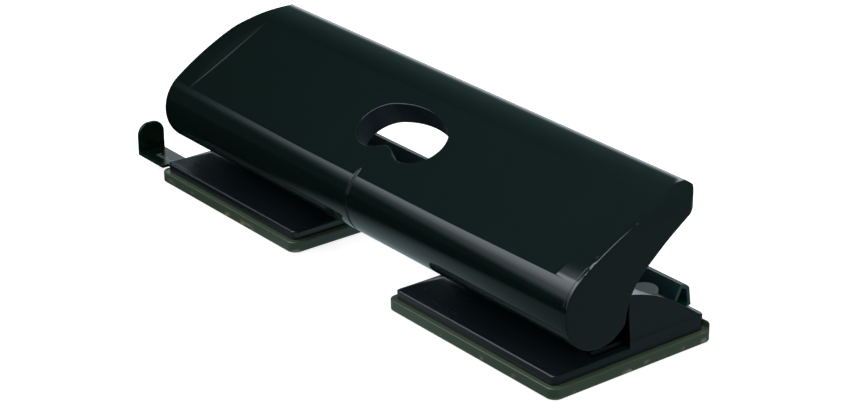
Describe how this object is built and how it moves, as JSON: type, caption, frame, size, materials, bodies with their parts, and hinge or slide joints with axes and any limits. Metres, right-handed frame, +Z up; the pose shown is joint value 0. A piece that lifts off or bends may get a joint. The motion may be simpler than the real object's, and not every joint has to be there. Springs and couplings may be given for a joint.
{
  "type": "desk hole punch",
  "caption": "Long desk hole punch: two punch units tied by a rail under one wide sprung handle with a sight hole, chip trays and a sliding side stop.",
  "frame": {"origin": "bottom centre of the machine's bounding box at rest, on the desk", "axes": "+X along the handle to the right seen from the paper side, +Y away from the paper side, +Z up"},
  "size_m": [0.2788, 0.0794, 0.0674],
  "materials": {
    "handle_gloss": "high gloss black, very slightly green",
    "cover_plastic": "satin black",
    "tray_smoked": "smoked olive, slightly translucent",
    "frame_steel": "plain zinc-plated sheet",
    "pin_steel": "ground and hardened",
    "fastener_steel": "zinc plated",
    "buffer_rubber": "matte grey",
    "guide_plastic": "dark green-black, smooth"
  },
  "bodies": {
    "base": {"axle_clips_left": "fastener_steel", "axle_clips_right": "fastener_steel", "base_cover_left": "cover_plastic", "base_cover_right": "cover_plastic", "base_plate_left": "frame_steel", "base_plate_right": "frame_steel", "frame_rivets_left": "fastener_steel", "frame_rivets_right": "fastener_steel", "hinge_axle_left": "pin_steel", "hinge_axle_right": "pin_steel", "keeper_screws": "fastener_steel", "plate_screws_left": "fastener_steel", "plate_screws_right": "fastener_steel", "punch_frame_left": "frame_steel", "punch_frame_right": "frame_steel", "rail_screws": "fastener_steel", "return_spring_1": "fastener_steel", "return_spring_2": "fastener_steel", "return_spring_3": "fastener_steel", "return_spring_4": "fastener_steel", "stop_buffers_left": "buffer_rubber", "stop_buffers_right": "buffer_rubber", "tie_rail": "cover_plastic", "guide_keeper": "frame_steel"},
    "handle": {"handle_shell": "handle_gloss", "handle_end_left": "handle_gloss", "handle_end_right": "handle_gloss", "press_rod_left": "pin_steel", "press_rod_right": "pin_steel"},
    "guide": {"paper_guide": "guide_plastic"},
    "tray_left": {"chip_tray_left": "tray_smoked"},
    "tray_right": {"chip_tray_right": "tray_smoked"},
    "pin_1": {"punch_pin_1": "pin_steel", "pin_clip_1": "fastener_steel"},
    "pin_2": {"punch_pin_2": "pin_steel", "pin_clip_2": "fastener_steel"},
    "pin_3": {"punch_pin_3": "pin_steel", "pin_clip_3": "fastener_steel"},
    "pin_4": {"punch_pin_4": "pin_steel", "pin_clip_4": "fastener_steel"}
  },
  "joints": [
    {"name": "handle_press", "type": "hinge", "parent": "base", "child": "handle", "pos_m": [0.0094, -0.0191, 0.0314], "axis": [-1, 0, 0], "range_deg": [0, 37], "stiffness_Nm_per_rad": 0.6, "springref_deg": -22.92},
    {"name": "pin_1_stroke", "type": "slide", "parent": "base", "child": "pin_1", "axis": [0, 0, -1], "range_m": [0, 0.0093], "deforming": ["return_spring_1"]},
    {"name": "pin_2_stroke", "type": "slide", "parent": "base", "child": "pin_2", "axis": [0, 0, -1], "range_m": [0, 0.0093], "deforming": ["return_spring_2"]},
    {"name": "pin_3_stroke", "type": "slide", "parent": "base", "child": "pin_3", "axis": [0, 0, -1], "range_m": [0, 0.0093], "deforming": ["return_spring_3"]},
    {"name": "pin_4_stroke", "type": "slide", "parent": "base", "child": "pin_4", "axis": [0, 0, -1], "range_m": [0, 0.0093], "deforming": ["return_spring_4"]},
    {"name": "guide_slide", "type": "slide", "parent": "base", "child": "guide", "axis": [-1, 0, 0], "range_m": [-0.0024, 0.065]},
    {"name": "tray_left_slide", "type": "slide", "parent": "base", "child": "tray_left", "axis": [-1, 0, 0], "range_m": [0, 0.06]},
    {"name": "tray_right_slide", "type": "slide", "parent": "base", "child": "tray_right", "axis": [1, 0, 0], "range_m": [0, 0.06]}
  ],
  "couplings": [
    {"joint": "pin_1_stroke", "follows": "handle_press", "m_per_rad": 0.014249},
    {"joint": "pin_2_stroke", "follows": "handle_press", "m_per_rad": 0.014249},
    {"joint": "pin_3_stroke", "follows": "handle_press", "m_per_rad": 0.014249},
    {"joint": "pin_4_stroke", "follows": "handle_press", "m_per_rad": 0.014249}
  ]
}
